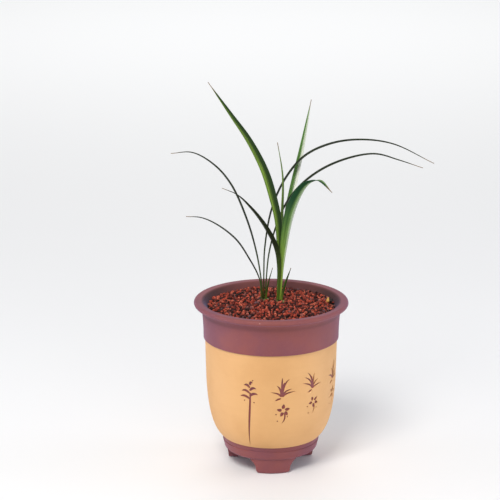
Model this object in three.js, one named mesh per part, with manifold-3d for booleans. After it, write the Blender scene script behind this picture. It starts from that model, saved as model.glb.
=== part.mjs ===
// A potted orchid: a small cymbidium in a three-footed pot of purple stoneware with a coat of yellow slip.
// Millimetres, +Z up. Pot and plant are laid out round the pot's own axis with the ground at z = 0. The last
// step moves the whole sideways, so that the origin is on the ground under the middle of its outer box.
import * as THREE from "three";
import { mergeVertices } from "three/addons/utils/BufferGeometryUtils.js";
import Module from "manifold-3d";

const wasm = await Module();
wasm.setup();

// ---- Driving dimensions ---------------------------------------------------------------------------------

// Heights of the pot's zones, from the ground up
const FOOT_HEIGHT = 15.6;
const RING_HEIGHT = 15.4; // foot ring, up to the lower edge of the slip
const BAND_HEIGHT = 105.2; // slip-coated body
const NECK_HEIGHT = 27; // plain collar above the slip
const LIP_RISE = 12.6; // cove and rolled lip

// Radii of the pot
const RING_RADIUS = 51.1; // foot ring, just under the slip
const RING_TAPER = 2.2; // the ring is this much slimmer at its own foot
const SHOULDER_RADIUS = 68.6; // the slip's upper edge
const BELLY_DRAW_IN = 1; // the belly is this much slimmer than the shoulder
const BELLY_HEIGHT = 62; // from the slip's lower edge to where the side becomes upright
const BAND_LEDGE = 0.6; // the slip's lower edge stands this far out over the ring
const NECK_STEP = 1.6; // the collar stands this far out over the slip
const NECK_FLARE = 1.4; // how much the collar widens towards the lip
const LIP_OVERHANG = 9.8; // from the collar's foot to the lip's edge
const LIP_ROLL = 2.8; // radius of the roll at the edge
const LIP_WIDTH = 9.4; // flat top of the lip, from its edge to the mouth
const MOUTH_ROUNDING = 1.5; // the lip turns down into the mouth over this depth
const FUNNEL_DEPTH = 8.6; // the mouth narrows to the inner wall over this depth
const WALL = 5;

// Underside of the pot
const FLOOR_THICKNESS = 7;
const UNDERSIDE_RISE = 3.4; // hollow under the floor, above the ring's lower edge
const RING_WIDTH = 10;
const RING_ROUNDING = 4;
const GROOVE_RISE = 10.4; // turned line round the ring, above its lower edge
const GROOVE_DEPTH = 0.7;
const DRAIN_RADIUS = 9;

// Feet, cut from a slab and luted under the ring
const FOOT_BEARINGS = [-87.3, 32.7, 152.7];
const FOOT_TOP_WIDTH = 51;
const FOOT_SOLE_WIDTH = 37;
const FOOT_CORNER = 5;
const FOOT_SETBACK = 4.6; // the foot's outer face lies this far inside the ring's outer face
const FOOT_THICKNESS = 11;
const FOOT_BATTER = 2; // the foot's outer face leans out by this much towards its top

// Slip coat
const SLIP_THICKNESS = 0.9;

// Filling
const HEADSPACE = 5.5; // from the lip's top down to the grit at the wall
const MOUND_RISE = 2.2; // the middle of the grit stands this much higher than its edge

// Potsherd over the drain hole
const CROCK_RADIUS = 30;
const CROCK_THICKNESS = 5;
const CROCK_SPREAD = 80; // degrees of arc
const CROCK_LENGTH = 36;

// Plant: where its two growths stand, and how far below the top of the mound
const CROWN_DEPTH = 1.3;
const LEFT_CROWN = [-7, 16.5];
const RIGHT_CROWN = [9, 12.5];
const CROWN_RADIUS = 5; // flat top of a pseudobulb, which carries the leaves
const BULB_RADIUS = 7.5;
const BULB_HEIGHT = 17;
const RHIZOME_RADIUS = 3.4;
const ROOT_RADIUS = 2.2;
const ROOT_MARGIN = 8; // grit between the lowest roots and the wall
const LEAF_THICKNESS = 0.5;
const OPEN_FOLD = [0.5, 0.3]; // slope of a blade's halves, at its base and at its tip
const CLOSE_FOLD = [0.55, 0.6]; // the same for the narrow leaves, which are folded more

// Clearances
const SLIP_GAP = 0.3; // slip to clay
const FILL_GAP = 0.3; // grit to pot
const CROCK_GAP = 0.3; // potsherd to floor and grit
const ROOT_GAP = 0.35; // rootstock to grit
const LEAF_SEAT = 0.4; // leaf to pseudobulb
const REST_GAP = 0.3; // loose bits to grit

// Fineness
const ROUND_STEPS = 40;
const CURVE_STEPS = 5;
const LEAF_STEPS = 28;
const BRACT_STEPS = 9;
const ROOT_STEPS = 12;

// ---- Levels and radii that follow from them -------------------------------------------------------------

const bandBottom = FOOT_HEIGHT + RING_HEIGHT;
const bandTop = bandBottom + BAND_HEIGHT;
const neckTop = bandTop + NECK_HEIGHT;
const rimTop = neckTop + LIP_RISE;
const underside = FOOT_HEIGHT + UNDERSIDE_RISE;
const floorTop = underside + FLOOR_THICKNESS;
const soilEdge = rimTop - HEADSPACE;

const bellyRadius = SHOULDER_RADIUS - BELLY_DRAW_IN;
const bandFootRadius = RING_RADIUS + BAND_LEDGE;
const neckRadius = SHOULDER_RADIUS + NECK_STEP;
const rimRadius = neckRadius + LIP_OVERHANG;
const mouthRadius = rimRadius - LIP_WIDTH;
const boreRadius = neckRadius - WALL;
const funnelSlope = (mouthRadius - boreRadius) / (FUNNEL_DEPTH - MOUTH_ROUNDING);
const fillRadius = boreRadius - 1.3 * FILL_GAP + funnelSlope * Math.max(0, FUNNEL_DEPTH - HEADSPACE);

// ---- Helpers --------------------------------------------------------------------------------------------

const radians = THREE.MathUtils.degToRad;
const flat = (radius, height) => new THREE.Vector2(radius, height);

// A closed geometry as a solid that can be joined and cut.
function solid(geometry) {
  const bare = geometry.index ? geometry.toNonIndexed() : geometry.clone();
  bare.deleteAttribute("normal");
  bare.deleteAttribute("uv");
  const merged = mergeVertices(bare, 1e-4);
  const mesh = new wasm.Mesh({
    numProp: 3,
    vertProperties: merged.attributes.position.array,
    triVerts: new Uint32Array(merged.index.array),
  });
  return new wasm.Manifold(mesh);
}

// A joined or cut solid as a geometry again.
function geometryOf(body) {
  const { vertProperties, triVerts } = body.getMesh();
  const geometry = new THREE.BufferGeometry();
  geometry.setAttribute("position", new THREE.BufferAttribute(vertProperties, 3));
  geometry.setIndex(new THREE.BufferAttribute(triVerts, 1));
  geometry.computeVertexNormals();
  return geometry;
}

// An outline of (radius, height) points turned round the Z axis.
function turned(outline, steps = ROUND_STEPS) {
  return new THREE.LatheGeometry(outline, steps).rotateX(Math.PI / 2);
}

function named(name, geometry, material) {
  const mesh = new THREE.Mesh(geometry, material.clone());
  mesh.name = name;
  return mesh;
}

// ---- Materials ------------------------------------------------------------------------------------------

const matt = (color, roughness) => new THREE.MeshStandardMaterial({ color, roughness, metalness: 0 });
const purpleClay = matt(0x8a5453, 0.7);
const yellowSlip = matt(0xe3b079, 0.75);
const volcanicGrit = matt(0x8a4032, 0.95);
const potsherd = matt(0xa4573f, 0.85);
const darkLeaf = matt(0x33421f, 0.4);
const brightLeaf = matt(0x5f8a35, 0.4);
const sheathLeaf = matt(0x56702f, 0.5);
const paleRoot = matt(0xcfc6a4, 0.7);
const paleBark = matt(0xd9a54a, 0.85);
const deadStem = matt(0x2c211b, 0.9);

// ---- Pot ------------------------------------------------------------------------------------------------

// The side of the body from the ring up to the shoulder, drawn in by a constant amount.
function bodySide(inset) {
  const belly = bandBottom + BELLY_HEIGHT;
  const swell = new THREE.CubicBezierCurve(
    flat(bandFootRadius - inset, bandBottom),
    flat(bandFootRadius + 0.72 * (bellyRadius - bandFootRadius) - inset, bandBottom + 0.17 * BELLY_HEIGHT),
    flat(bandFootRadius + 0.92 * (bellyRadius - bandFootRadius) - inset, bandBottom + 0.56 * BELLY_HEIGHT),
    flat(bellyRadius - inset, belly),
  );
  return [...swell.getPoints(CURVE_STEPS), flat(SHOULDER_RADIUS - inset, bandTop)];
}

// The inner wall, from the corner at the floor up to the foot of the funnel, drawn in by a constant amount.
function bore(inset) {
  const corner = flat(bandFootRadius - WALL - inset - 4, floorTop + inset);
  return [corner, ...bodySide(WALL + inset), flat(boreRadius - inset, bandTop + 2 * WALL)];
}

function potOutline() {
  const ringFoot = FOOT_HEIGHT + RING_ROUNDING;
  const groove = FOOT_HEIGHT + GROOVE_RISE;
  const ringLow = RING_RADIUS - RING_TAPER;
  const ringAtGroove = RING_RADIUS - RING_TAPER * (1 - GROOVE_RISE / RING_HEIGHT);
  const under = new THREE.Path();
  under.moveTo(DRAIN_RADIUS, underside);
  under.lineTo(RING_RADIUS - RING_WIDTH - UNDERSIDE_RISE, underside);
  under.lineTo(RING_RADIUS - RING_WIDTH, FOOT_HEIGHT);
  under.lineTo(ringLow - RING_ROUNDING, FOOT_HEIGHT);
  under.absarc(ringLow - RING_ROUNDING, ringFoot, RING_ROUNDING, -Math.PI / 2, 0);
  under.lineTo(ringAtGroove, groove - GROOVE_DEPTH);
  under.lineTo(ringAtGroove - GROOVE_DEPTH, groove);
  under.lineTo(ringAtGroove, groove + GROOVE_DEPTH);
  under.lineTo(RING_RADIUS, bandBottom - SLIP_GAP);

  const rollRadius = rimRadius - LIP_ROLL;
  const rollHeight = rimTop - LIP_ROLL;
  const lip = new THREE.Path();
  lip.moveTo(neckRadius, bandTop + SLIP_GAP);
  lip.lineTo(neckRadius + NECK_FLARE, neckTop);
  const eaves = rollHeight - LIP_ROLL;
  lip.quadraticCurveTo(neckRadius + NECK_FLARE + 0.6, eaves - 1, rollRadius, eaves);
  lip.absarc(rollRadius, rollHeight, LIP_ROLL, -Math.PI / 2, Math.PI / 2);
  lip.quadraticCurveTo(mouthRadius, rimTop, mouthRadius, rimTop - MOUTH_ROUNDING);
  lip.lineTo(boreRadius, rimTop - FUNNEL_DEPTH);

  // The bed that the slip lies in runs a gap's width past both of its edges.
  const bed = bodySide(SLIP_THICKNESS + SLIP_GAP);
  const bedFoot = flat(bed[0].x, bandBottom - SLIP_GAP);
  const bedTop = flat(bed.at(-1).x, bandTop + SLIP_GAP);
  const inside = [flat(DRAIN_RADIUS, floorTop), ...bore(0)].reverse();
  const outline = [
    ...under.getPoints(CURVE_STEPS),
    bedFoot,
    ...bed,
    bedTop,
    ...lip.getPoints(CURVE_STEPS),
    ...inside,
  ];
  return [...outline, outline[0]];
}

// One foot, under the ring at the bearing of -90 degrees: a slab with tapered sides and round corners.
function footSlab() {
  const top = underside + 0.5;
  const half = FOOT_SOLE_WIDTH / 2;
  const face = new THREE.Shape();
  face.moveTo(-FOOT_TOP_WIDTH / 2, top);
  face.lineTo(-FOOT_TOP_WIDTH / 2, FOOT_HEIGHT);
  face.quadraticCurveTo(-half - 1, 0.6 * FOOT_HEIGHT, -half, FOOT_CORNER);
  face.quadraticCurveTo(-half, 0, -half + FOOT_CORNER, 0);
  face.lineTo(half - FOOT_CORNER, 0);
  face.quadraticCurveTo(half, 0, half, FOOT_CORNER);
  face.quadraticCurveTo(half + 1, 0.6 * FOOT_HEIGHT, FOOT_TOP_WIDTH / 2, FOOT_HEIGHT);
  face.lineTo(FOOT_TOP_WIDTH / 2, top);
  const slab = new THREE.ExtrudeGeometry(face, { depth: RING_RADIUS, bevelEnabled: false, curveSegments: 4 });
  return slab.rotateX(Math.PI / 2);
}

// The ring-shaped space that the feet are cut from, with an outer face that leans out towards the top.
function footRing() {
  const outer = RING_RADIUS - FOOT_SETBACK;
  const inner = outer - FOOT_THICKNESS;
  const top = underside + 0.5;
  return turned([
    flat(inner, 0),
    flat(outer - FOOT_BATTER - 1, 0),
    flat(outer - FOOT_BATTER, 1),
    flat(outer, top),
    flat(inner, top),
    flat(inner, 0),
  ]);
}

function makePot() {
  const ring = solid(footRing());
  const slab = solid(footSlab());
  let pot = solid(turned(potOutline()));
  for (const bearing of FOOT_BEARINGS) {
    const foot = slab.rotate([0, 0, bearing + 90]).intersect(ring);
    pot = pot.add(foot);
  }
  return named("pot", geometryOf(pot), purpleClay);
}

// The slip coat: a thin shell on the drawn-in body, between the ring and the collar's step.
function makeSlipBand() {
  const outside = bodySide(0);
  const inside = bodySide(SLIP_THICKNESS).reverse();
  return named("slip_band", turned([...outside, ...inside, outside[0]]), yellowSlip);
}

// ---- Potsherd over the drain hole -----------------------------------------------------------------------

// An arc on its two edges, lying along Y over the hole. The filled form has no hollow under the arch.
function crockGeometry(clearance, filled) {
  const half = radians(CROCK_SPREAD / 2);
  const inner = CROCK_RADIUS - CROCK_THICKNESS;
  const outer = CROCK_RADIUS + clearance;
  const centre = floorTop + CROCK_GAP - inner * Math.cos(half);
  const slack = clearance / inner;
  const face = new THREE.Shape();
  face.absarc(0, centre, outer, Math.PI / 2 - half - slack, Math.PI / 2 + half + slack);
  if (filled) {
    face.lineTo(-outer * Math.sin(half), floorTop);
    face.lineTo(outer * Math.sin(half), floorTop);
  } else {
    face.absarc(0, centre, inner, Math.PI / 2 + half, Math.PI / 2 - half, true);
  }
  const length = CROCK_LENGTH + 2 * clearance;
  const arch = new THREE.ExtrudeGeometry(face, { depth: length, bevelEnabled: false, curveSegments: 8 });
  return arch.rotateX(Math.PI / 2).translate(0, length / 2, 0);
}

const makeDrainCrock = () => named("drain_crock", crockGeometry(0, false), potsherd);

// ---- Rootstock ------------------------------------------------------------------------------------------

const moundTop = soilEdge + MOUND_RISE;
const crownLevel = moundTop - CROWN_DEPTH;
const crownAt = ([x, y]) => new THREE.Vector3(x, y, crownLevel);

function tube(points, radius, sides, steps) {
  const section = new THREE.Shape();
  section.absarc(0, 0, radius, 0, 2 * Math.PI);
  const path = new THREE.CatmullRomCurve3(points);
  const round = { extrudePath: path, steps, curveSegments: sides, bevelEnabled: false };
  return new THREE.ExtrudeGeometry(section, round);
}

// A pseudobulb: an egg with a flat crown. With headroom, its crown goes on upwards as a plain shaft.
function bulb(crown, clearance, headroom) {
  const outline = [
    flat(0, -BULB_HEIGHT - clearance),
    flat(0.62 * BULB_RADIUS + clearance, 1.6 - BULB_HEIGHT - clearance),
    flat(0.93 * BULB_RADIUS + clearance, -0.66 * BULB_HEIGHT),
    flat(BULB_RADIUS + clearance, -0.42 * BULB_HEIGHT),
    flat(0.87 * BULB_RADIUS + clearance, -0.18 * BULB_HEIGHT),
    flat(CROWN_RADIUS + 0.3 + clearance, -1),
    flat(CROWN_RADIUS + clearance, headroom),
    flat(0, headroom),
  ];
  return solid(turned(outline, 14).translate(crown.x, crown.y, crown.z));
}

// A root leaves its bulb sideways and down, nears the wall and then curls along it towards the floor.
function rootPoints(crown, bearing) {
  const reach = bandFootRadius - WALL - ROOT_MARGIN;
  const depth = crown.z - floorTop;
  const at = (turn, out, down) => {
    const angle = radians(bearing + turn);
    const spot = new THREE.Vector3(Math.cos(angle), Math.sin(angle), 0).multiplyScalar(reach * out);
    return spot.setZ(crown.z - down * depth);
  };
  const start = crown.clone().setZ(crown.z - 0.6 * BULB_HEIGHT);
  return [start, at(0, 0.6, 0.24), at(6, 0.85, 0.5), at(24, 1, 0.76), at(66, 0.95, 0.9)];
}

// The plant below its leaves, grown by a clearance on all sides for the space that it fills in the grit.
function rootstockSolid(clearance, headroom) {
  const left = crownAt(LEFT_CROWN);
  const right = crownAt(RIGHT_CROWN);
  const waist = new THREE.Vector3(0, 0, -0.62 * BULB_HEIGHT);
  const across = [left, right].map((crown) => crown.clone().add(waist));
  let body = bulb(left, clearance, headroom).add(bulb(right, clearance, headroom));
  body = body.add(solid(tube(across, RHIZOME_RADIUS + clearance, 4, 2)));
  const bearings = new Map([[left, [95, 150, 215]], [right, [275, 330, 30]]]);
  for (const [crown, turns] of bearings) {
    for (const bearing of turns) {
      const route = rootPoints(crown, bearing);
      const girth = ROOT_RADIUS + clearance;
      const tip = new THREE.SphereGeometry(1.1 * girth, 6, 4).translate(...route.at(-1));
      body = body.add(solid(tube(route, girth, 3, ROOT_STEPS))).add(solid(tip));
    }
  }
  return body;
}

const makeRootstock = () => named("rootstock", geometryOf(rootstockSolid(0, 0)), paleRoot);

// ---- Grit -----------------------------------------------------------------------------------------------

// Height of the grit's surface at a distance from the pot's axis.
function moundAt(distance) {
  const share = distance / fillRadius;
  return soilEdge + MOUND_RISE * (1 - share * share);
}

function makeGrowingMedium() {
  const wall = bore(FILL_GAP);
  wall.push(flat(boreRadius - FILL_GAP, Math.min(rimTop - FUNNEL_DEPTH, soilEdge - 0.5)));
  const edge = flat(fillRadius, soilEdge);
  const mound = [0.84, 0.68, 0.5, 0.3].map((share) => flat(share * edge.x, moundAt(share * edge.x)));
  const outline = [flat(0, wall[0].y), ...wall, edge, ...mound, flat(0, moundTop)];
  const fill = solid(turned(outline));
  const hollow = solid(crockGeometry(CROCK_GAP, true));
  const plant = rootstockSolid(ROOT_GAP, 2 * CROWN_DEPTH);
  return named("growing_medium", geometryOf(fill.subtract(hollow).subtract(plant)), volcanicGrit);
}

// ---- Leaves ---------------------------------------------------------------------------------------------

// Half the blade's width at a share of its length: base to widest in a smooth swell, then a long taper.
function halfWidth([base, widest, where], along) {
  if (along < where) {
    return THREE.MathUtils.lerp(base, widest, THREE.MathUtils.smoothstep(along, 0, where));
  }
  const rest = (along - where) / (1 - where);
  return Math.max(widest * (1 - Math.pow(rest, 1.7)), 0.35);
}

// A blade folded along its midrib. Its centre line runs through points measured from the crown. `facing` is
// the bearing of the blade's width at the base and at the tip, and `fold` is the slope of each half there.
function bladeGeometry(crown, leaf) {
  const { points, widths, facing, fold = OPEN_FOLD, steps = LEAF_STEPS } = leaf;
  const origin = crown.clone().setZ(crown.z + LEAF_SEAT);
  const route = points.map(([x, y, z]) => new THREE.Vector3(x, y, z).add(origin));
  const path = new THREE.CatmullRomCurve3(route, false, "centripetal");
  const blade = new THREE.BoxGeometry(2, LEAF_THICKNESS, 1, 2, 1, steps);
  const place = blade.attributes.position;
  for (let i = 0; i < place.count; i += 1) {
    const across = place.getX(i);
    const along = place.getZ(i) + 0.5;
    const half = halfWidth(widths, along);
    const bearing = radians(THREE.MathUtils.lerp(facing[0], facing[1], along));
    const slope = THREE.MathUtils.lerp(fold[0], fold[1], along);
    const tangent = path.getTangentAt(along);
    const side = new THREE.Vector3(Math.cos(bearing), Math.sin(bearing), 0);
    side.addScaledVector(tangent, -side.dot(tangent)).normalize();
    const up = new THREE.Vector3().crossVectors(tangent, side);
    const point = path.getPointAt(along);
    point.addScaledVector(side, across * half);
    point.addScaledVector(up, Math.abs(across) * half * slope + place.getY(i));
    place.setXYZ(i, point.x, point.y, point.z);
  }
  return blade;
}

// Older growth: four narrow leaves, seen edge on from the front, and a bract.
const LEFT_LEAVES = {
  left_growth_leaf_1: {
    points: [[-2.1, 1, 0], [-4.2, 1, 22], [-9, 3, 49], [-18.9, 7.5, 82.5], [-35.8, 13.5, 119.5],
      [-53.1, 17.5, 139], [-74.8, 20.5, 151], [-96.8, 21.5, 150]],
    widths: [2, 3, 0.5],
    facing: [-90, -90],
    fold: CLOSE_FOLD,
  },
  left_growth_leaf_2: {
    points: [[-3.6, -2, 0], [-5.4, -4.5, 21.5], [-17.6, -14.5, 49], [-30.2, -23.5, 70], [-50.4, -33.5, 88.8],
      [-65.4, -40.5, 97.2], [-79.4, -44.5, 99.3]],
    widths: [1.6, 2.6, 0.5],
    facing: [-90, -70],
    fold: CLOSE_FOLD,
  },
  left_growth_leaf_3: {
    points: [[0.2, 2.2, 0], [0.2, 3.5, 29], [1.2, 5.5, 53], [8.2, 9.5, 92.5], [21.8, 11.5, 124],
      [41.3, 12.5, 148], [66.8, 12.5, 161], [96.6, 11.5, 166], [131.7, 9.5, 162.3], [174.1, 5.5, 143]],
    widths: [2, 3.2, 0.45],
    facing: [90, 90],
    fold: CLOSE_FOLD,
  },
  left_growth_leaf_4: {
    points: [[1.8, 1, 0], [3, 2, 24.5], [5.4, 4, 46.5], [12, 5.5, 73], [24.3, 5.5, 102],
      [44.2, 3.5, 125.5], [72.8, -1.5, 144.5], [111.1, -10.5, 156],
      [136.7, -16.5, 151], [160.3, -22.5, 144.5]],
    widths: [2, 3.2, 0.5],
    facing: [90, 84],
    fold: CLOSE_FOLD,
  },
  left_growth_bract: {
    points: [[2.2, -3.4, 0], [4.4, -7.5, 18.5], [8.4, -13.5, 37]],
    widths: [1.2, 1.3, 0.3],
    facing: [60, 60],
    steps: BRACT_STEPS,
  },
};

// Younger growth: five leaves that turn their broad sides to the front and back, and a bract.
const RIGHT_LEAVES = {
  right_growth_leaf_1: {
    points: [[-1.2, -0.3, 0], [-0.5, -2.4, 41.5], [-2, -8.5, 86], [-7, -12.5, 110.5], [-16.2, -17.5, 141.5],
      [-31.6, -21.5, 173], [-49.5, -24.5, 200], [-72.8, -26.5, 234]],
    widths: [1.6, 4.1, 0.5],
    facing: [0, 0],
  },
  right_growth_leaf_2: {
    points: [[0.2, 1.3, 0], [1.2, 3.5, 48], [2.4, 4.5, 92], [2.8, 4.5, 130], [-2.8, 2.5, 166.5]],
    widths: [1.4, 1.6, 0.4],
    facing: [0, 30],
  },
  right_growth_leaf_3: {
    points: [[0.3, 3.6, 0], [3.4, 7.5, 47.5], [8, 14.5, 90], [15.5, 20.5, 124], [22, 25.5, 152.5],
      [32.3, 34.5, 205]],
    widths: [1.3, 3.3, 0.58],
    facing: [180, 180],
  },
  right_growth_leaf_4: {
    points: [[-0.1, -1.9, 0], [2.3, -5.5, 44], [8, -12.5, 88], [13.9, -18.5, 108.8], [21.8, -27.5, 125.5],
      [29.2, -35.5, 133.4], [39.5, -45.5, 137], [50.9, -54.5, 127.5]],
    widths: [1.5, 5.2, 0.6],
    facing: [0, 10],
  },
  right_growth_leaf_5: {
    points: [[-2.1, -3.1, 0], [-1.4, -6.8, 41.5], [-4.6, -8.8, 59], [-15.4, -12.5, 81.4], [-30.6, -17.5, 103],
      [-44.5, -21.5, 117.5], [-59.3, -24.5, 125]],
    widths: [1.4, 3.1, 0.5],
    facing: [-15, -50],
  },
  right_growth_bract: {
    points: [[1.9, -3.6, 0], [5.1, -5.8, 16.5], [11.4, -9.5, 37]],
    widths: [1.2, 1.4, 0.3],
    facing: [20, 20],
    steps: BRACT_STEPS,
  },
};

function makeLeaves(crown, leaves, material) {
  const growth = new THREE.Group();
  for (const [name, leaf] of Object.entries(leaves)) {
    const finish = leaf.steps === BRACT_STEPS ? sheathLeaf : material;
    growth.add(named(name, bladeGeometry(crown, leaf), finish));
  }
  return growth;
}

// ---- Loose bits on the grit -----------------------------------------------------------------------------

// A flake of bark with a split end, lying near the wall.
function makeBarkChip() {
  const [x, y] = [60.6, 4];
  const face = new THREE.Shape();
  face.moveTo(-4, -2);
  face.lineTo(1, -2.6);
  face.lineTo(4.2, -0.8);
  face.lineTo(3, 1.4);
  face.lineTo(-2.4, 2.4);
  const flake = new THREE.ExtrudeGeometry(face, { depth: 1.6, bevelEnabled: false });
  const chip = named("bark_chip", flake, paleBark);
  chip.rotation.set(radians(6), radians(4), radians(70));
  chip.position.set(x, y, moundAt(Math.hypot(x, y) - 8) + REST_GAP);
  return chip;
}

// A bit of dead stem, lying on the grit behind and to the left of the plant.
function makeTwig() {
  const [x, y] = [-32, 28];
  const points = [new THREE.Vector3(-6, -5, 0), new THREE.Vector3(0, 0.8, 0.4), new THREE.Vector3(6, 5, 0)];
  const twig = named("twig", tube(points, 0.6, 3, 6), deadStem);
  twig.position.set(x, y, moundAt(Math.hypot(x, y)) + REST_GAP + 0.6);
  return twig;
}

// ---- Assembly -------------------------------------------------------------------------------------------

const plantInPot = new THREE.Group();
plantInPot.add(makePot());
plantInPot.add(makeSlipBand());
plantInPot.add(makeDrainCrock());
plantInPot.add(makeGrowingMedium());
plantInPot.add(makeRootstock());
plantInPot.add(makeLeaves(crownAt(LEFT_CROWN), LEFT_LEAVES, darkLeaf));
plantInPot.add(makeLeaves(crownAt(RIGHT_CROWN), RIGHT_LEAVES, brightLeaf));
plantInPot.add(makeBarkChip());
plantInPot.add(makeTwig());

const box = new THREE.Box3().setFromObject(plantInPot, true);
const middle = box.getCenter(new THREE.Vector3());
plantInPot.position.set(-middle.x, -middle.y, 0);

const pottedOrchid = new THREE.Group();
pottedOrchid.add(plantInPot);

export default pottedOrchid;
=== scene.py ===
# %% [markdown]
# # A potted orchid
# A small cymbidium stands in a stoneware pot of purple clay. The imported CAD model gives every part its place
# and size. This lesson gives the parts their looks: a turned pot with carved slip, a bed of volcanic grit,
# and long folded leaves. Everything is in metres, and the origin is on the ground.

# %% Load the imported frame
import bisect
import math
import random

import bmesh
import bpy
from mathutils import Matrix, Vector, geometry, noise


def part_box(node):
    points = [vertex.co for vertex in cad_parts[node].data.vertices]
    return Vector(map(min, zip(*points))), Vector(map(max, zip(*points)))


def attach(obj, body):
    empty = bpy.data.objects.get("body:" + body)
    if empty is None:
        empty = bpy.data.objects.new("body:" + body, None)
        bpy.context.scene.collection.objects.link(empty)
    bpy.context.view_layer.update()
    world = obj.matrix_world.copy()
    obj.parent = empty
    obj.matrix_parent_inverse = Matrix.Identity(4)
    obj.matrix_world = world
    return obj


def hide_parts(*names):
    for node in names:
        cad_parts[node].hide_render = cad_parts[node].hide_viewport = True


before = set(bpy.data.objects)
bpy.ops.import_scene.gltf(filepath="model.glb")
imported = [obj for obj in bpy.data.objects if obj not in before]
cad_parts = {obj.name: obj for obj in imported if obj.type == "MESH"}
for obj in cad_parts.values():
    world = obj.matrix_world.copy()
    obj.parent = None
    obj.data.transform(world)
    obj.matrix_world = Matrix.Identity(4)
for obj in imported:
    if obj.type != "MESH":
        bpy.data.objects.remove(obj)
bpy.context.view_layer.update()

MM = 0.001
print("frame nodes:", ", ".join(sorted(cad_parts)))

# %% [markdown]
# ## Where things are
# The pot is a turned form, so its box gives its height and its widest radius. The slip coat's box gives the
# axis that both are turned about, and the two heights where the coat begins and ends. Reading them here
# keeps the two models in step.

# %% Levels and radii from the frame
pot_low, pot_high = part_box("pot")
band_low, band_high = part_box("slip_band")
fill_low, fill_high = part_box("growing_medium")
AXIS = Vector(((band_low[0] + band_high[0]) / 2, 0, 0))
RIM_TOP = pot_high[2]
RIM_RADIUS = (pot_high[1] - pot_low[1]) / 2
BAND_BOTTOM = band_low[2]
BAND_TOP = band_high[2]
SHOULDER_RADIUS = (band_high[1] - band_low[1]) / 2
GRIT_GAP = 0.3 * MM
FLOOR_TOP = fill_low[2] - GRIT_GAP
print("axis at x =", round(AXIS.x, 4), "rim radius", round(RIM_RADIUS, 4), "rim top", round(RIM_TOP, 4))

# %% [markdown]
# ## Camera, light and floor
# The object is shown on a plain pale floor, from a little above, with a long lens. A long lens keeps the
# rim's ellipse calm. One broad lamp, high in front on the left, is the main light, and a weaker one on the
# right balances it. Four slightly blue lamps stand at the sides: two low ones graze the clay from below the
# rim, and two higher ones touch the lip and the leaves' edges. One lamp far behind brightens the floor, and
# an even pale sky fills the shadows.

# %% Camera
PITCH = math.radians(15.07)
CAMERA_DISTANCE = 2.0
LENS = 140.1
AIM_LEFT = 21.9 * MM
AIM_HEIGHT = 228.5 * MM
target = AXIS + Vector((-AIM_LEFT, 0, AIM_HEIGHT))
camera = bpy.data.objects.new("camera", bpy.data.cameras.new("camera"))
camera.location = target + CAMERA_DISTANCE * Vector((0, -math.cos(PITCH), math.sin(PITCH)))
camera.rotation_euler = (math.pi / 2 - PITCH, 0, 0)
camera.data.lens = LENS
camera.data.clip_end = 100
bpy.context.collection.objects.link(camera)
bpy.context.scene.camera = camera
bpy.context.scene.view_settings.view_transform = "Standard"


# %% Lamps, sky and floor
def lamp(name, place, size, watts, colour, aim=(0, 0, 0.18)):
    """A square area lamp that faces a spot, given from the pot's foot."""
    light = bpy.data.lights.new(name, "AREA")
    light.size = size
    light.energy = watts
    light.color = colour
    made = bpy.data.objects.new(name, light)
    made.location = AXIS + Vector(place)
    way = AXIS + Vector(aim) - made.location
    made.rotation_euler = way.to_track_quat("-Z", "Y").to_euler()
    bpy.context.collection.objects.link(made)


lamp("key_lamp", (-0.5, -1.3, 1.7), 0.8, 29, (1.0, 0.97, 0.93))
lamp("fill_lamp", (0.8, -1.9, 0.6), 0.8, 4, (1.0, 0.98, 0.96))
lamp("left_edge_lamp", (-1.5, -0.1, 0.08), 0.16, 7, (0.7, 0.78, 1.0), (0, 0, 0.1))
lamp("right_edge_lamp", (1.5, -0.1, 0.08), 0.16, 6.5, (0.7, 0.78, 1.0), (0, 0, 0.1))
lamp("left_side_lamp", (-1.4, 0.2, 0.7), 0.6, 1.5, (0.8, 0.82, 1.0))
lamp("right_side_lamp", (1.4, 0.2, 0.7), 0.6, 3.0, (0.8, 0.82, 1.0))
lamp("floor_lamp", (0, 3.2, 2.6), 3.0, 62, (1.0, 1.0, 1.0), (0, 3.6, 0))

world = bpy.data.worlds.new("pale_sky")
world.use_nodes = True
world.node_tree.nodes["Background"].inputs["Color"].default_value = (0.96, 0.98, 1.0, 1)
world.node_tree.nodes["Background"].inputs["Strength"].default_value = 0.42
bpy.context.scene.world = world

bm = bmesh.new()
bmesh.ops.create_grid(bm, x_segments=1, y_segments=1, size=12)
floor_mesh = bpy.data.meshes.new("floor")
bm.to_mesh(floor_mesh)
bm.free()
floor = bpy.data.objects.new("floor", floor_mesh)
bpy.context.collection.objects.link(floor)
paint = bpy.data.materials.new("pale_floor")
paint.use_nodes = True
paint.node_tree.nodes["Principled BSDF"].inputs["Base Color"].default_value = (0.9, 0.9, 0.9, 1)
paint.node_tree.nodes["Principled BSDF"].inputs["Roughness"].default_value = 0.9
floor_mesh.materials.append(paint)

# %% [markdown]
# ## Helpers for materials
# A material is a small tree of nodes. Short helpers add a node with its inputs, mix two colours, make a
# colour ramp, move a value to another range, do one step of maths, and link a colour and a bump to the
# shader. Colours are written as screen values from 0 to 255 and changed to the linear values that the
# renderer uses.


# %% Node helpers
def colour(red, green, blue):
    """A screen colour as a linear one."""
    linear = [((c / 255 + 0.055) / 1.055) ** 2.4 if c > 10 else c / 3294.6 for c in (red, green, blue)]
    return (*linear, 1)


def fill(tree, made, inputs):
    """Links or fills the inputs of a node."""
    for key, value in inputs.items():
        if isinstance(value, bpy.types.NodeSocket):
            tree.links.new(value, made.inputs[key])
        else:
            made.inputs[key].default_value = value


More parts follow.
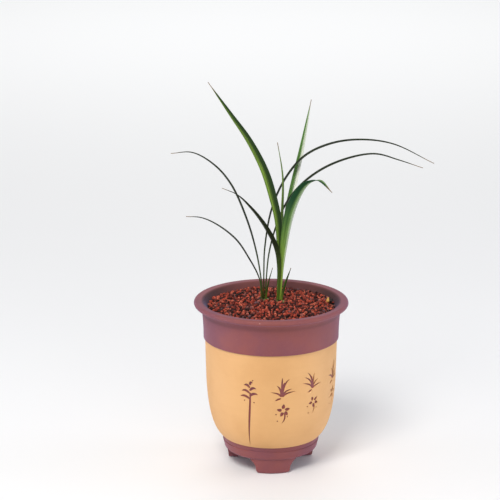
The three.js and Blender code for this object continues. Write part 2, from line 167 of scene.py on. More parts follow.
def node(tree, kind, inputs, **settings):
    """Adds a shader node, sets it up, and fills its inputs."""
    made = tree.nodes.new("ShaderNode" + kind)
    for key, value in settings.items():
        setattr(made, key, value)
    fill(tree, made, inputs)
    return made


def object_coords(tree):
    """A spot's place on its own object, in metres."""
    return node(tree, "TexCoord", {}).outputs["Object"]


def mix(tree, share, first, second):
    """Two colours mixed by a share from 0 to 1."""
    return node(tree, "Mix", {0: share, 6: first, 7: second}, data_type="RGBA").outputs[2]


def ramp(tree, share, stops):
    """A colour or grey that runs through stops of (place, colour)."""
    made = node(tree, "ValToRGB", {"Fac": share})
    band = made.color_ramp
    while len(band.elements) < len(stops):
        band.elements.new(0.5)
    for element, (place, value) in zip(band.elements, stops):
        element.position = place
        element.color = value
    return made.outputs["Color"]


def span(tree, value, low, high, out_low=0.0, out_high=1.0):
    """A value moved smoothly from one range to another and held at its ends."""
    inputs = {0: value, 1: low, 2: high, 3: out_low, 4: out_high}
    return node(tree, "MapRange", inputs, interpolation_type="SMOOTHSTEP").outputs[0]


def maths(tree, operation, first, second=0.0):
    """One step of maths on one or two values."""
    return node(tree, "Math", {0: first, 1: second}, operation=operation).outputs[0]


def times(tree, first, second):
    """The product of two values."""
    return maths(tree, "MULTIPLY", first, second)


def new_group(name, inputs, outputs):
    """An empty node group with named sockets. Inputs are name: (kind, default), outputs are name: kind."""
    group = bpy.data.node_groups.new(name, "ShaderNodeTree")
    for key, (kind, default) in inputs.items():
        socket = group.interface.new_socket(key, in_out="INPUT", socket_type="NodeSocket" + kind)
        if default is not None:
            socket.default_value = default
    for key, kind in outputs.items():
        group.interface.new_socket(key, in_out="OUTPUT", socket_type="NodeSocket" + kind)
    return group, group.nodes.new("NodeGroupInput").outputs, group.nodes.new("NodeGroupOutput").inputs


def use_group(tree, group, inputs):
    """A copy of a shared group in a material, with its inputs filled."""
    made = tree.nodes.new("ShaderNodeGroup")
    made.node_tree = group
    fill(tree, made, inputs)
    return made.outputs


def new_material(name, roughness=0.5, **constants):
    """A material with its Principled shader. Constants are set on the shader's own sockets."""
    material = bpy.data.materials.new(name)
    material.use_nodes = True
    shader = material.node_tree.nodes["Principled BSDF"].inputs
    shader["Roughness"].default_value = roughness
    for key, value in constants.items():
        shader[key.replace("_", " ")].default_value = value
    return material, material.node_tree, shader


def dress(tree, shader, colour_socket, height, depth):
    """Links a colour, and a bump of the height at a depth, to the shader."""
    bump = node(tree, "Bump", {"Height": height, "Distance": depth})
    tree.links.new(colour_socket, shader["Base Color"])
    tree.links.new(bump.outputs["Normal"], shader["Normal"])


# %% [markdown]
# ## Fired clay
# Unglazed stoneware is never one flat colour. The kiln leaves soft clouds of a second tone, the wheel leaves
# faint level lines, and the body is full of fine sand. One group makes all three, and the purple clay, the
# yellow slip and the potsherd each use it with their own colours and strengths.

# %% Shared group: fired clay
clay_group, given, result = new_group(
    "fired_clay",
    {
        "Vector": ("Vector", None),
        "Clay": ("Color", colour(139, 84, 83)),
        "Cloud": ("Color", colour(120, 80, 95)),
        "Speck": ("Color", colour(190, 150, 140)),
        "Cloud Amount": ("Float", 0.6),
        "Speck Amount": ("Float", 0.5),
        "Wheel Lines": ("Float", 0.3),
    },
    {"Color": "Color", "Height": "Float", "Roughness": "Float"},
)
clouds = node(clay_group, "TexNoise", {"Vector": given["Vector"], "Scale": 16, "Detail": 5, "Roughness": 0.6})
cloud_spread = span(clay_group, clouds.outputs[0], 0.38, 0.68)
cloud_share = times(clay_group, cloud_spread, given["Cloud Amount"])
sand = node(clay_group, "TexNoise", {"Vector": given["Vector"], "Scale": 1300, "Detail": 3, "Roughness": 0.7})
sand_spread = span(clay_group, sand.outputs[0], 0.62, 0.72)
sand_share = times(clay_group, sand_spread, given["Speck Amount"])
level = node(clay_group, "Mapping", {"Vector": given["Vector"], "Scale": (6, 6, 240)})
lines = node(clay_group, "TexNoise", {"Vector": level.outputs[0], "Scale": 1, "Detail": 4, "Roughness": 0.7})
line_share = times(clay_group, lines.outputs[0], given["Wheel Lines"])
tinted = mix(clay_group, cloud_share, given["Clay"], given["Cloud"])
lined = mix(clay_group, line_share, tinted, mix(clay_group, 0.55, tinted, given["Cloud"]))
clay_group.links.new(mix(clay_group, sand_share, lined, given["Speck"]), result["Color"])
grain_height = times(clay_group, sand.outputs[0], 0.5)
clay_group.links.new(maths(clay_group, "ADD", grain_height, line_share), result["Height"])
clay_group.links.new(span(clay_group, clouds.outputs[0], 0.3, 0.7, 0.58, 0.74), result["Roughness"])


def clay_material(name, clay, cloud, speck, amounts, depth, **constants):
    """Fired clay: three colours, the amounts of cloud, speck and wheel lines, and the grain's depth."""
    material, tree, shader = new_material(name, **constants)
    coords = object_coords(tree)
    shades = {"Vector": coords, "Clay": clay, "Cloud": cloud, "Speck": speck}
    shades.update(zip(("Cloud Amount", "Speck Amount", "Wheel Lines"), amounts))
    made = use_group(tree, clay_group, shades)
    tree.links.new(made["Roughness"], shader["Roughness"])
    dress(tree, shader, made["Color"], made["Height"], depth)
    return material


purple_clay = clay_material(
    "purple_clay", colour(137, 74, 70), colour(120, 70, 82), colour(182, 132, 124),
    (0.75, 0.35, 0.35), 0.25 * MM, Specular_IOR_Level=0.35,
    Sheen_Weight=0.22, Sheen_Roughness=0.35, Sheen_Tint=(0.5, 0.5, 1.0, 1),
)
yellow_slip = clay_material(
    "yellow_slip", colour(221, 172, 116), colour(207, 156, 102), colour(236, 198, 150),
    (0.55, 0.2, 0.6), 0.16 * MM, Specular_IOR_Level=0.3,
)
potsherd_clay = clay_material(
    "potsherd_clay", colour(164, 92, 66), colour(140, 74, 52), colour(205, 160, 130),
    (0.7, 0.6, 0.1), 0.5 * MM,
)

# %% [markdown]
# ## Painted shade and wear on the pot
# Painted shade darkens the inside of the mouth below the lip, and a grain of the lip has chipped away in
# front. Both are laid over the purple clay. The painted shade follows the distance from the pot's axis and
# the height, and it is darker at the mouth's two sides. The chip is a small patch about one spot.

# %% Painted shade and chip on the purple clay
tree = purple_clay.node_tree
shader = tree.nodes["Principled BSDF"].inputs
unshaded = shader["Base Color"].links[0].from_socket
coords = object_coords(tree)
flat = node(tree, "VectorMath", {0: coords, 1: -AXIS}, operation="ADD").outputs[0]
level = node(tree, "VectorMath", {0: flat, 1: (1, 1, 0)}, operation="MULTIPLY").outputs[0]
from_axis = node(tree, "VectorMath", {0: level}, operation="LENGTH").outputs["Value"]
height = node(tree, "SeparateXYZ", {0: coords}).outputs[2]
inside = span(tree, from_axis, RIM_RADIUS - 6.5 * MM, RIM_RADIUS - 10.5 * MM)
high = span(tree, height, RIM_TOP - 15 * MM, RIM_TOP - 11 * MM)
sideways = maths(tree, "ABSOLUTE", node(tree, "SeparateXYZ", {0: flat}).outputs[0])
side_shade = span(tree, sideways, 0.35 * RIM_RADIUS, 0.8 * RIM_RADIUS, 0.45, 0.95)
mouth_shade = times(tree, times(tree, inside, high), side_shade)
# Painted shade: the inside of the mouth below the lip is darkened, most at its two sides.
mouth_shaded = mix(tree, mouth_shade, unshaded, colour(62, 34, 30))
chip_spot = AXIS + Vector((-12 * MM, -78.6 * MM, RIM_TOP - 2.4 * MM))
chip_noise = node(tree, "TexNoise", {"Vector": coords, "Scale": 1500}).outputs[0]
chip_reach = node(tree, "VectorMath", {0: coords, 1: chip_spot}, operation="DISTANCE").outputs["Value"]
chip_edge = maths(tree, "ADD", chip_reach, times(tree, chip_noise, 1.4 * MM))
chipped = mix(tree, span(tree, chip_edge, 1.5 * MM, 1.2 * MM), mouth_shaded, colour(205, 160, 150))
tree.links.new(chipped, shader["Base Color"])

# %% [markdown]
# ## Helpers for meshes
# Round parts are an outline spun about the pot's axis. The outline is a chain of points, with arcs and
# curves where the form is round. Most finished meshes are shaded smooth, with sharp edges where two faces
# meet at more than a set angle; the grit's grains keep flat faces.


# %% Outline and mesh helpers
def arc(centre, radius, start, end, steps):
    """Points on an arc, from one angle to another in degrees, seen in (radius, height)."""
    turns = [math.radians(start + (end - start) * i / steps) for i in range(steps + 1)]
    return [(centre[0] + radius * math.cos(t), centre[1] + radius * math.sin(t)) for t in turns]


def bezier(start, pull, push, end, steps):
    corners = [Vector((*p, 0)) for p in (start, pull, push, end)]
    return [(p.x, p.y) for p in geometry.interpolate_bezier(*corners, steps + 1)]


def spun(outline, steps=160):
    """A closed outline of (radius, height) points, spun about the pot's axis into a closed surface."""
    bm = bmesh.new()
    chain = [bm.verts.new(AXIS + Vector((radius, 0, height))) for radius, height in outline]
    edges = [bm.edges.new(pair) for pair in zip(chain, chain[1:])]
    turn = {"cent": AXIS, "axis": (0, 0, 1), "angle": 2 * math.pi, "steps": steps}
    bmesh.ops.spin(bm, geom=chain + edges, use_merge=True, use_duplicate=False, **turn)
    bmesh.ops.remove_doubles(bm, verts=bm.verts, dist=1e-6)
    bmesh.ops.recalc_face_normals(bm, faces=bm.faces)
    return bm


def shade(bm, angle=38):
    """Smooth faces, with edges kept sharp where the surface turns by more than the angle."""
    for face in bm.faces:
        face.smooth = True
    for edge in bm.edges:
        edge.smooth = edge.calc_face_angle(0) < math.radians(angle)


def as_object(bm, name, material):
    """Writes a bmesh into a new object at the origin."""
    mesh = bpy.data.meshes.new(name)
    bm.to_mesh(mesh)
    bm.free()
    made = bpy.data.objects.new(name, mesh)
    bpy.context.collection.objects.link(made)
    mesh.materials.append(material)
    return made


def cut_or_join(piece, tool, operation):
    """Applies an exact boolean of the tool to the piece and removes the tool. Its parts may cross."""
    modifier = piece.modifiers.new("boolean", "BOOLEAN")
    modifier.operation = operation
    modifier.object = tool
    modifier.solver = "EXACT"
    modifier.use_self = True
    result_mesh = bpy.data.meshes.new_from_object(piece.evaluated_get(bpy.context.evaluated_depsgraph_get()))
    piece.modifiers.remove(modifier)
    piece.data = result_mesh
    bpy.data.objects.remove(tool)
    bm = bmesh.new()
    bm.from_mesh(result_mesh)
    bmesh.ops.remove_doubles(bm, verts=bm.verts, dist=1e-7)
    shade(bm)
    bm.to_mesh(result_mesh)
    bm.free()


def settle(piece, slot, *nodes):
    """The lines that every finished piece needs: it rides on the one body and stands for its CAD nodes."""
    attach(piece, "root")
    if nodes:
        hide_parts(*nodes)
    print(piece.name, "faces:", len(piece.data.polygons))


# %% [markdown]
# ## The pot
# A potter throws the body on a wheel, rolls the lip over, turns a foot ring, and lutes on three cut feet. The
# mesh follows the same steps: one outline is spun for the thrown body, the feet are slabs bent to the ring,
# and an exact boolean joins them, because the real pot is one fired piece.

# %% Pot outline
RING_RADIUS = 51.1 * MM
RING_TAPER = 2.2 * MM
FOOT_HEIGHT = 15.6 * MM
UNDERSIDE = 19 * MM
WALL = 5 * MM
BELLY_RADIUS = SHOULDER_RADIUS - 1 * MM
BELLY_HEIGHT = 62 * MM
BAND_FOOT_RADIUS = RING_RADIUS + 0.6 * MM
NECK_RADIUS = SHOULDER_RADIUS + 1.6 * MM
NECK_TOP = BAND_TOP + 27 * MM
BORE_RADIUS = NECK_RADIUS - WALL
MOUTH_RADIUS = RIM_RADIUS - 9.4 * MM
LIP_ROLL = 2.8 * MM
DRAIN_RADIUS = 9 * MM
SLIP_THICKNESS = 0.9 * MM
SLIP_GAP = 0.05 * MM
GROOVE_RISE = 10.4 * MM
GROOVE_DEPTH = 0.6 * MM
BELLY_STEPS = 26
UPRIGHT_STEPS = 8


def body_side(inset):
    """The side from the ring to the shoulder, drawn in by a constant amount."""
    swell = BELLY_RADIUS - BAND_FOOT_RADIUS
    start = (BAND_FOOT_RADIUS - inset, BAND_BOTTOM)
    pull = (BAND_FOOT_RADIUS + 0.72 * swell - inset, BAND_BOTTOM + 0.17 * BELLY_HEIGHT)
    push = (BAND_FOOT_RADIUS + 0.92 * swell - inset, BAND_BOTTOM + 0.56 * BELLY_HEIGHT)
    belly = (BELLY_RADIUS - inset, BAND_BOTTOM + BELLY_HEIGHT)
    side = bezier(start, pull, push, belly, BELLY_STEPS)
    for i in range(1, UPRIGHT_STEPS + 1):
        share = i / UPRIGHT_STEPS
        height = belly[1] + share * (BAND_TOP - belly[1])
        side.append((belly[0] + share * (SHOULDER_RADIUS - BELLY_RADIUS), height))
    return side


groove = FOOT_HEIGHT + GROOVE_RISE
ring_low = RING_RADIUS - RING_TAPER
at_groove = ring_low + RING_TAPER * (groove - FOOT_HEIGHT) / (BAND_BOTTOM - FOOT_HEIGHT)
ring_side = [(at_groove, groove - 0.8 * MM), (at_groove - GROOVE_DEPTH, groove - 0.25 * MM)]
ring_side += [(at_groove - GROOVE_DEPTH, groove + 0.25 * MM), (at_groove, groove + 0.8 * MM)]
roll = (RIM_RADIUS - LIP_ROLL, RIM_TOP - LIP_ROLL)
eaves = (roll[0], roll[1] - LIP_ROLL)
neck_edge = 0.5 * MM
bed = body_side(SLIP_THICKNESS + SLIP_GAP)
neck = [(NECK_RADIUS - neck_edge, BAND_TOP + SLIP_GAP), (NECK_RADIUS, BAND_TOP + neck_edge)]
neck += bezier(
    (NECK_RADIUS + 0.1 * MM, BAND_TOP + 6 * MM), (NECK_RADIUS + 0.2 * MM, BAND_TOP + 14 * MM),
    (NECK_RADIUS + 0.6 * MM, BAND_TOP + 20 * MM), (NECK_RADIUS + 1.4 * MM, NECK_TOP), 6,
)
cove = bezier(
    (NECK_RADIUS + 1.4 * MM, NECK_TOP), (NECK_RADIUS + 2.2 * MM, NECK_TOP + 4 * MM),
    (NECK_RADIUS + 3.4 * MM, eaves[1] - 0.4 * MM), eaves, 8,
)
lip_top = bezier(
    (roll[0], RIM_TOP), (roll[0] - 2.5 * MM, RIM_TOP - 0.5 * MM),
    (MOUTH_RADIUS + 3 * MM, RIM_TOP - 0.2 * MM), (MOUTH_RADIUS + 1.2 * MM, RIM_TOP - 0.5 * MM), 6,
)
mouth = bezier(
    (MOUTH_RADIUS + 1.2 * MM, RIM_TOP - 0.5 * MM), (MOUTH_RADIUS - 0.4 * MM, RIM_TOP - 1 * MM),
    (BORE_RADIUS + 1.5 * MM, RIM_TOP - 6 * MM), (BORE_RADIUS, RIM_TOP - 9.5 * MM), 8,
)
inner_wall = [(BORE_RADIUS, BAND_TOP + 2 * WALL)] + body_side(WALL)[::-1]
floor_corner = [(BAND_FOOT_RADIUS - WALL - 4 * MM, FLOOR_TOP)]
drain = [(DRAIN_RADIUS + 0.8 * MM, FLOOR_TOP), (DRAIN_RADIUS, FLOOR_TOP - 0.8 * MM)]
drain.append((DRAIN_RADIUS, UNDERSIDE))
under = [(RING_RADIUS - 13.4 * MM, UNDERSIDE), (RING_RADIUS - 10 * MM, FOOT_HEIGHT)]
under += arc((ring_low - 4 * MM, FOOT_HEIGHT + 4 * MM), 4 * MM, -90, 0, 8)
outline = under + ring_side + [(RING_RADIUS, BAND_BOTTOM - SLIP_GAP)]
outline += [(bed[0][0], BAND_BOTTOM - SLIP_GAP)] + bed + [(bed[-1][0], BAND_TOP + SLIP_GAP)]
outline += neck + cove[1:] + arc(roll, LIP_ROLL, -90, 90, 12)[1:] + lip_top[1:] + mouth[1:]
outline += inner_wall + floor_corner + drain
print("pot outline points:", len(outline))


# %% Feet
FOOT_BEARINGS = (-87.3, 32.7, 152.7)
FOOT_TOP_HALF = 25.5 * MM
FOOT_SOLE_HALF = 18.5 * MM
FOOT_CORNER = 5 * MM
FOOT_THICKNESS = 11 * MM
FOOT_SETBACK = 4.6 * MM
FOOT_OUTER_RADIUS = RING_RADIUS - FOOT_SETBACK
FOOT_LEAN = 2 * MM
FOOT_EDGE = 1.2 * MM
FOOT_WOBBLE = 0.35 * MM


def foot_half_width(height):
    """Half the slab's width at a height: a hollow taper with round lower corners."""
    share = min(max((height - FOOT_CORNER) / (FOOT_HEIGHT - FOOT_CORNER), 0), 1)
    half = FOOT_SOLE_HALF + (FOOT_TOP_HALF - FOOT_SOLE_HALF) * share ** 2.2
    if height < FOOT_CORNER:
        drop = (FOOT_CORNER - height) / FOOT_CORNER
        half -= FOOT_CORNER * (1 - math.sqrt(1 - drop * drop)) * 0.9
    return half


def make_feet():
    """Three slabs, each a subdivided cube that is bent to the ring and turned to its bearing."""
    feet = bmesh.new()
    top = UNDERSIDE + 0.5 * MM
    for bearing in FOOT_BEARINGS:
        bm = bmesh.new()
        bmesh.ops.create_cube(bm, size=1)
        bmesh.ops.subdivide_edges(bm, edges=bm.edges, cuts=11, use_grid_fill=True)
        for vert in bm.verts:
            wide, deep, high = vert.co
            height = top * (high + 0.5) ** 1.5
            across = 2 * wide * foot_half_width(height)
            lean = FOOT_LEAN * (height / top - 1)
            edge = FOOT_EDGE * max(0, 1 - height / FOOT_EDGE) * (deep + 0.5) ** 6
            radius = FOOT_OUTER_RADIUS + lean * (deep + 0.5) - FOOT_THICKNESS * (0.5 - deep) - edge
            angle = across / FOOT_OUTER_RADIUS * 1.02
            wobble = noise.noise(Vector((across, radius, height)) / (9 * MM) + Vector((bearing, 0, 0)))
            radius += FOOT_WOBBLE * wobble * (1 if height > 0.2 * MM else 0)
            vert.co = AXIS + Vector((radius * math.cos(angle), radius * math.sin(angle), height))
        turn = Matrix.Rotation(math.radians(bearing), 3, "Z")
        bmesh.ops.rotate(bm, verts=bm.verts, cent=AXIS, matrix=turn)
        bmesh.ops.recalc_face_normals(bm, faces=bm.faces)
        mesh = bpy.data.meshes.new("foot")
        bm.to_mesh(mesh)
        bm.free()
        feet.from_mesh(mesh)
        bpy.data.meshes.remove(mesh)
    return feet


pot = as_object(spun(outline + outline[:1]), "thrown_pot", purple_clay)
cut_or_join(pot, as_object(make_feet(), "feet", purple_clay), "UNION")
settle(pot, "purple_clay", "pot")

# %% [markdown]
# ## The carved slip
# The body is dipped in yellow slip, and the decoration is cut through the leather-hard coat with a bamboo
# knife, so that the purple clay shows. The coat is a thin spun shell. Each stroke is a curved, pointed prism
# that is cut out of it, which gives real edges to the carving. The motif is plain: a flower stalk, clumps of
# grass in the wind, and loose blossoms over scattered dots.


# %% Carving knife
CUT_INSIDE = 50 * MM
CUT_OUTSIDE = 74 * MM
DOT_LENGTH = 1.5


def cut(bm, bearing, height, start, bend, end, width):
    """Adds one knife stroke: a prism through the coat along a curve from start to end, pulled to a bend.
    Points are (across, up) in millimetres on the coat, measured from a spot at a bearing and a height."""
    verts = bmesh.ops.create_grid(bm, x_segments=8, y_segments=1, size=1)["verts"]
    start, bend, end = (Vector(point) * MM for point in (start, bend, end))
    for vert in verts:
        along = (vert.co.x + 1) / 2
        spot = start.lerp(bend, along).lerp(bend.lerp(end, along), along)
        heading = (bend - start).lerp(end - bend, along).normalized()
        press = 0.12 + 0.88 * math.sin(math.pi * min(1, 0.16 + 0.84 * along)) ** 0.8
        spot += Vector((-heading.y, heading.x)) * vert.co.y * press * width * MM / 2
        turn = math.radians(bearing - 90) + spot.x / SHOULDER_RADIUS
        vert.co = Vector((math.cos(turn), math.sin(turn), (height + spot.y) / CUT_INSIDE)) * CUT_INSIDE
    faces = list({face for vert in verts for face in vert.link_faces})
    grown = bmesh.ops.extrude_face_region(bm, geom=faces)["geom"]
    for vert in (item for item in grown if isinstance(item, bmesh.types.BMVert)):
        vert.co.x *= CUT_OUTSIDE / CUT_INSIDE
        vert.co.y *= CUT_OUTSIDE / CUT_INSIDE
    whole = verts + [item for item in grown if isinstance(item, bmesh.types.BMVert)]
    bmesh.ops.translate(bm, verts=whole, vec=AXIS)


def dots(bm, bearing, height, places):
    """Short nicks of the knife, scattered about a spot."""
    for across, up in places:
        start = (across - DOT_LENGTH / 2, up - 0.3)
        end = (across + DOT_LENGTH / 2, up + 0.4)
        cut(bm, bearing, height, start, (across, up), end, DOT_LENGTH)


def clump(bm, bearing, height, size, sway, rng):
    """Grass blades of many lengths that rise from one spot, lean with the wind, and nod at the tip."""
    for lean, rise in ((-12, 6), (-8, 13), (-3.5, 20), (1, 15), (5, 18), (9, 9), (13, 4)):
        reach = lean + sway * rise / 8 + rng.uniform(-1, 1)
        rise += rng.uniform(-1.5, 1.5)
        bend = (0.12 * reach * size, 0.8 * rise * size)
        cut(bm, bearing, height, (0.1 * lean * size, 0), bend, (reach * size, rise * size), 1.9 * size)
    ground = [(-1 * size, -1.6 * size), (-4 * size, -2 * size), (-7 * size, -4 * size)]
    cut(bm, bearing, height, *ground, 2 * size)


def blossom(bm, bearing, height, size, turn, rng):
    """Five loose petals about a gap, on a short bent stalk."""
    for step in range(5):
        way = math.radians(turn + 72 * step + rng.uniform(-9, 9))
        out = Vector((math.cos(way), math.sin(way))) * size
        side = Vector((-out.y, out.x)) * 0.45
        cut(bm, bearing, height, tuple(out * 1.4), tuple(out * 3 + side), tuple(out * 5), 2.6 * size)
    stalk = [(0.6 * size, -2 * size), (2.4 * size, -6 * size), (-1 * size, -10 * size)]
    cut(bm, bearing, height, *stalk, 1.3 * size)


# %% Carved motif
rng = random.Random(7)
carving = bmesh.new()
STALK_BEARING = -19.5
STALK_TOP = 92 * MM
cut(carving, STALK_BEARING, STALK_TOP, (1, 4), (0.5, -18), (-4, -57), 2.4)
for rise, lean in ((15, 0.6), (12, -0.9), (9, 1), (6, -1), (3, 1), (0, -1)):
    reach = lean * (10 - 0.3 * rise)
    leaflet = [(0.4, rise - 3), (0.5 * reach, rise + 1.8), (reach, rise - 1)]
    cut(carving, STALK_BEARING, STALK_TOP, *leaflet, 2.9)
dots(carving, STALK_BEARING, 88 * MM, ((-5.5, -1), (5, -2.5), (3.6, 21)))

# Each column: bearing, height of the clump's foot, size, sway of the grass, turn of the blossom
COLUMNS = [
    (9, 92, 1.05, 1.5, 20),
    (38.5, 97, 0.95, -1.5, 50),
    (69, 98, 1.0, 2, 5),
    (99, 94, 1.05, -1, 35),
    (129, 96, 0.95, 1, 60),
]
for bearing, height, size, sway, turn in COLUMNS:
    clump(carving, bearing, height * MM, size, sway, rng)
    blossom(carving, bearing + 1.5, (height - 15) * MM, 1.35 * size, turn, rng)
    dots(carving, bearing, (height - 21) * MM, ((-6, 2), (6.2, -1), (-4.4, -5.5)))
bmesh.ops.recalc_face_normals(carving, faces=carving.faces)
print("carving strokes, faces:", len(carving.faces))

# %% Slip coat
coat_outline = body_side(0) + body_side(SLIP_THICKNESS)[::-1]
slip = as_object(spun(coat_outline + coat_outline[:1], 192), "slip_coat", yellow_slip)
cut_or_join(slip, as_object(carving, "carving_tools", yellow_slip), "DIFFERENCE")
settle(slip, "yellow_slip", "slip_band")

# %% [markdown]
# ## The grit
# The pot is filled with crushed volcanic stone. Its surface is what shows: hundreds of angular grains from
# 2.5 to 5 mm, heaped loosely, with deep dark gaps. Each grain is a squashed and dented icosphere of 20 faces,
# which is rough enough to catch the light as broken stone does. A number painted on each grain picks its
# colour, so that one material makes red, orange, maroon and grey stones, and the lower layer gets only the
# darkest, as painted shade in the gaps. Under them lies a plain bed, copied from the CAD solid with its top
# sunk by a grain's height and coloured near black, also as painted shade in the gaps.

# %% Grit material
grit, tree, shader = new_material("volcanic_grit", 0.92)
tone = node(tree, "Attribute", {}, attribute_name="tone").outputs["Fac"]
stone_colours = ramp(tree, tone, [
    (0.0, colour(26, 12, 11)), (0.22, colour(78, 31, 25)), (0.42, colour(150, 54, 38)),
    (0.68, colour(212, 82, 56)), (0.88, colour(242, 126, 96)), (0.98, colour(124, 88, 94)),
])
coords = object_coords(tree)
pores = node(tree, "TexNoise", {"Vector": coords, "Scale": 900, "Detail": 4, "Roughness": 0.7})
pored = mix(tree, span(tree, pores.outputs[0], 0.36, 0.58), colour(44, 19, 16), stone_colours)
dress(tree, shader, pored, pores.outputs[0], 0.9 * MM)

# Painted shade: the bed under the grains is coloured near black, so that the gaps between grains read as
# shadow.
gap_shade_bed, tree, shader = new_material("grit_bed", 0.95)
coords = object_coords(tree)
lumps = node(tree, "TexNoise", {"Vector": coords, "Scale": 260, "Detail": 4, "Roughness": 0.7})
gap_shade = ramp(tree, lumps.outputs[0], [(0.35, colour(20, 9, 8)), (0.7, colour(66, 28, 22))])
dress(tree, shader, gap_shade, lumps.outputs[0], 1.5 * MM)

# %% [markdown]
# ## Where the leaves stand
# Each leaf's route is a short list of points, measured in millimetres from the crown that it grows out of.
# The lists are the same as in the CAD model. They come before the grit, because no grain may lie where a leaf
# comes up. Widths are half widths at the base and at the widest place, and where that place is. Facing is the
# bearing of the blade's width at base and tip. Fold is the slope of each half at base and tip.

# %% Leaf routes
CROWN_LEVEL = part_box("rootstock")[1][2]
LEFT_CROWN = AXIS + Vector((-7 * MM, 16.5 * MM, CROWN_LEVEL + 0.4 * MM))
RIGHT_CROWN = AXIS + Vector((9 * MM, 12.5 * MM, CROWN_LEVEL + 0.4 * MM))

LEFT_FOLD = (0.55, 0.6)
PLAIN_FOLD = (0.5, 0.3)

LEAVES = {
    "left_growth_leaf_1": {
        "widths": (2, 3, 0.5), "facing": (-90, -90), "fold": LEFT_FOLD,
        "points": [(-2.1, 1, 0), (-4.2, 1, 22), (-9, 3, 49), (-18.9, 7.5, 82.5), (-35.8, 13.5, 119.5),
                   (-53.1, 17.5, 139), (-74.8, 20.5, 151), (-96.8, 21.5, 150)],
    },
    "left_growth_leaf_2": {
        "widths": (1.6, 2.6, 0.5), "facing": (-90, -70), "fold": LEFT_FOLD,
        "points": [(-3.6, -2, 0), (-5.4, -4.5, 21.5), (-17.6, -14.5, 49), (-30.2, -23.5, 70),
                   (-50.4, -33.5, 88.8), (-65.4, -40.5, 97.2), (-79.4, -44.5, 99.3)],
    },
    "left_growth_leaf_3": {
        "widths": (2, 3.2, 0.45), "facing": (90, 90), "fold": LEFT_FOLD,
        "points": [(0.2, 2.2, 0), (0.2, 3.5, 29), (1.2, 5.5, 53), (8.2, 9.5, 92.5), (21.8, 11.5, 124),
                   (41.3, 12.5, 148), (66.8, 12.5, 161), (96.6, 11.5, 166), (131.7, 9.5, 162.3),
                   (174.1, 5.5, 143)],
    },
    "left_growth_leaf_4": {
        "widths": (2, 3.2, 0.5), "facing": (90, 84), "fold": LEFT_FOLD,
        "points": [(1.8, 1, 0), (3, 2, 24.5), (5.4, 4, 46.5), (12, 5.5, 73), (24.3, 5.5, 102),
                   (44.2, 3.5, 125.5), (72.8, -1.5, 144.5), (111.1, -10.5, 156), (136.7, -16.5, 151),
                   (160.3, -22.5, 144.5)],
    },
    "left_growth_bract": {
        "widths": (1.2, 1.3, 0.3), "facing": (60, 60),
        "points": [(2.2, -3.4, 0), (4.4, -7.5, 18.5), (8.4, -13.5, 37)],
    },
    "right_growth_leaf_1": {
        "widths": (1.6, 4.1, 0.5), "facing": (0, 0),
        "points": [(-1.2, -0.3, 0), (-0.5, -2.4, 41.5), (-2, -8.5, 86), (-7, -12.5, 110.5),
                   (-16.2, -17.5, 141.5), (-31.6, -21.5, 173), (-49.5, -24.5, 200), (-72.8, -26.5, 234)],
    },
    "right_growth_leaf_2": {
        "widths": (1.4, 1.6, 0.4), "facing": (0, 30),
        "points": [(0.2, 1.3, 0), (1.2, 3.5, 48), (2.4, 4.5, 92), (2.8, 4.5, 130), (-2.8, 2.5, 166.5)],
    },
    "right_growth_leaf_3": {
        "widths": (1.3, 3.3, 0.58), "facing": (180, 180),
        "points": [(0.3, 3.6, 0), (3.4, 7.5, 47.5), (8, 14.5, 90), (15.5, 20.5, 124), (22, 25.5, 152.5),
                   (32.3, 34.5, 205)],
    },
    "right_growth_leaf_4": {
        "widths": (1.5, 5.2, 0.6), "facing": (0, 10),
        "points": [(-0.1, -1.9, 0), (2.3, -5.5, 44), (8, -12.5, 88), (13.9, -18.5, 108.8),
                   (21.8, -27.5, 125.5), (29.2, -35.5, 133.4), (39.5, -45.5, 137), (50.9, -54.5, 127.5)],
    },
    "right_growth_leaf_5": {
        "widths": (1.4, 3.1, 0.5), "facing": (-15, -50),
        "points": [(-2.1, -3.1, 0), (-1.4, -6.8, 41.5), (-4.6, -8.8, 59), (-15.4, -12.5, 81.4),
                   (-30.6, -17.5, 103), (-44.5, -21.5, 117.5), (-59.3, -24.5, 125)],
    },
    "right_growth_bract": {
        "widths": (1.2, 1.4, 0.3), "facing": (20, 20),
        "points": [(1.9, -3.6, 0), (5.1, -5.8, 16.5), (11.4, -9.5, 37)],
    },
}
for name, leaf in LEAVES.items():
    leaf["crown"] = LEFT_CROWN if name.startswith("left") else RIGHT_CROWN


def leaf_base(leaf):
    """Three spots across a leaf's foot, which grains keep clear of."""
    foot = leaf["crown"] + Vector(leaf["points"][0]) * MM
    bearing = math.radians(leaf["facing"][0])
    side = Vector((math.cos(bearing), math.sin(bearing), 0)) * leaf["widths"][0] * MM * 0.7
    return [foot - side, foot, foot + side]


kept_clear = [spot.to_2d() for leaf in LEAVES.values() for spot in leaf_base(leaf)]
for loose in ("twig", "bark_chip"):
    low, high = (Vector(corner).to_2d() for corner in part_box(loose))
    kept_clear += [low.lerp(high, share) for share in (0.15, 0.38, 0.62, 0.85)]

# %% Grit bed
HEADSPACE = 5.5 * MM
SOIL_EDGE = RIM_TOP - HEADSPACE
MOUND_RISE = fill_high[2] - SOIL_EDGE
FILL_RADIUS = (fill_high[1] - fill_low[1]) / 2
BED_SINK = 2.6 * MM

bm = bmesh.new()
bm.from_mesh(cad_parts["growing_medium"].data)
bmesh.ops.remove_doubles(bm, verts=bm.verts, dist=1e-6)
for vert in bm.verts:
    if vert.co.z > SOIL_EDGE - 0.2 * MM:
        vert.co.z -= BED_SINK
shade(bm)
grit_bed = as_object(bm, "grit_bed", gap_shade_bed)
settle(grit_bed, "volcanic_grit", "growing_medium")


# %% Grains
def mound_at(distance):
    """Height of the grit's surface at a distance from the pot's axis."""
    share = distance / FILL_RADIUS
    return SOIL_EDGE + MOUND_RISE * (1 - share * share)


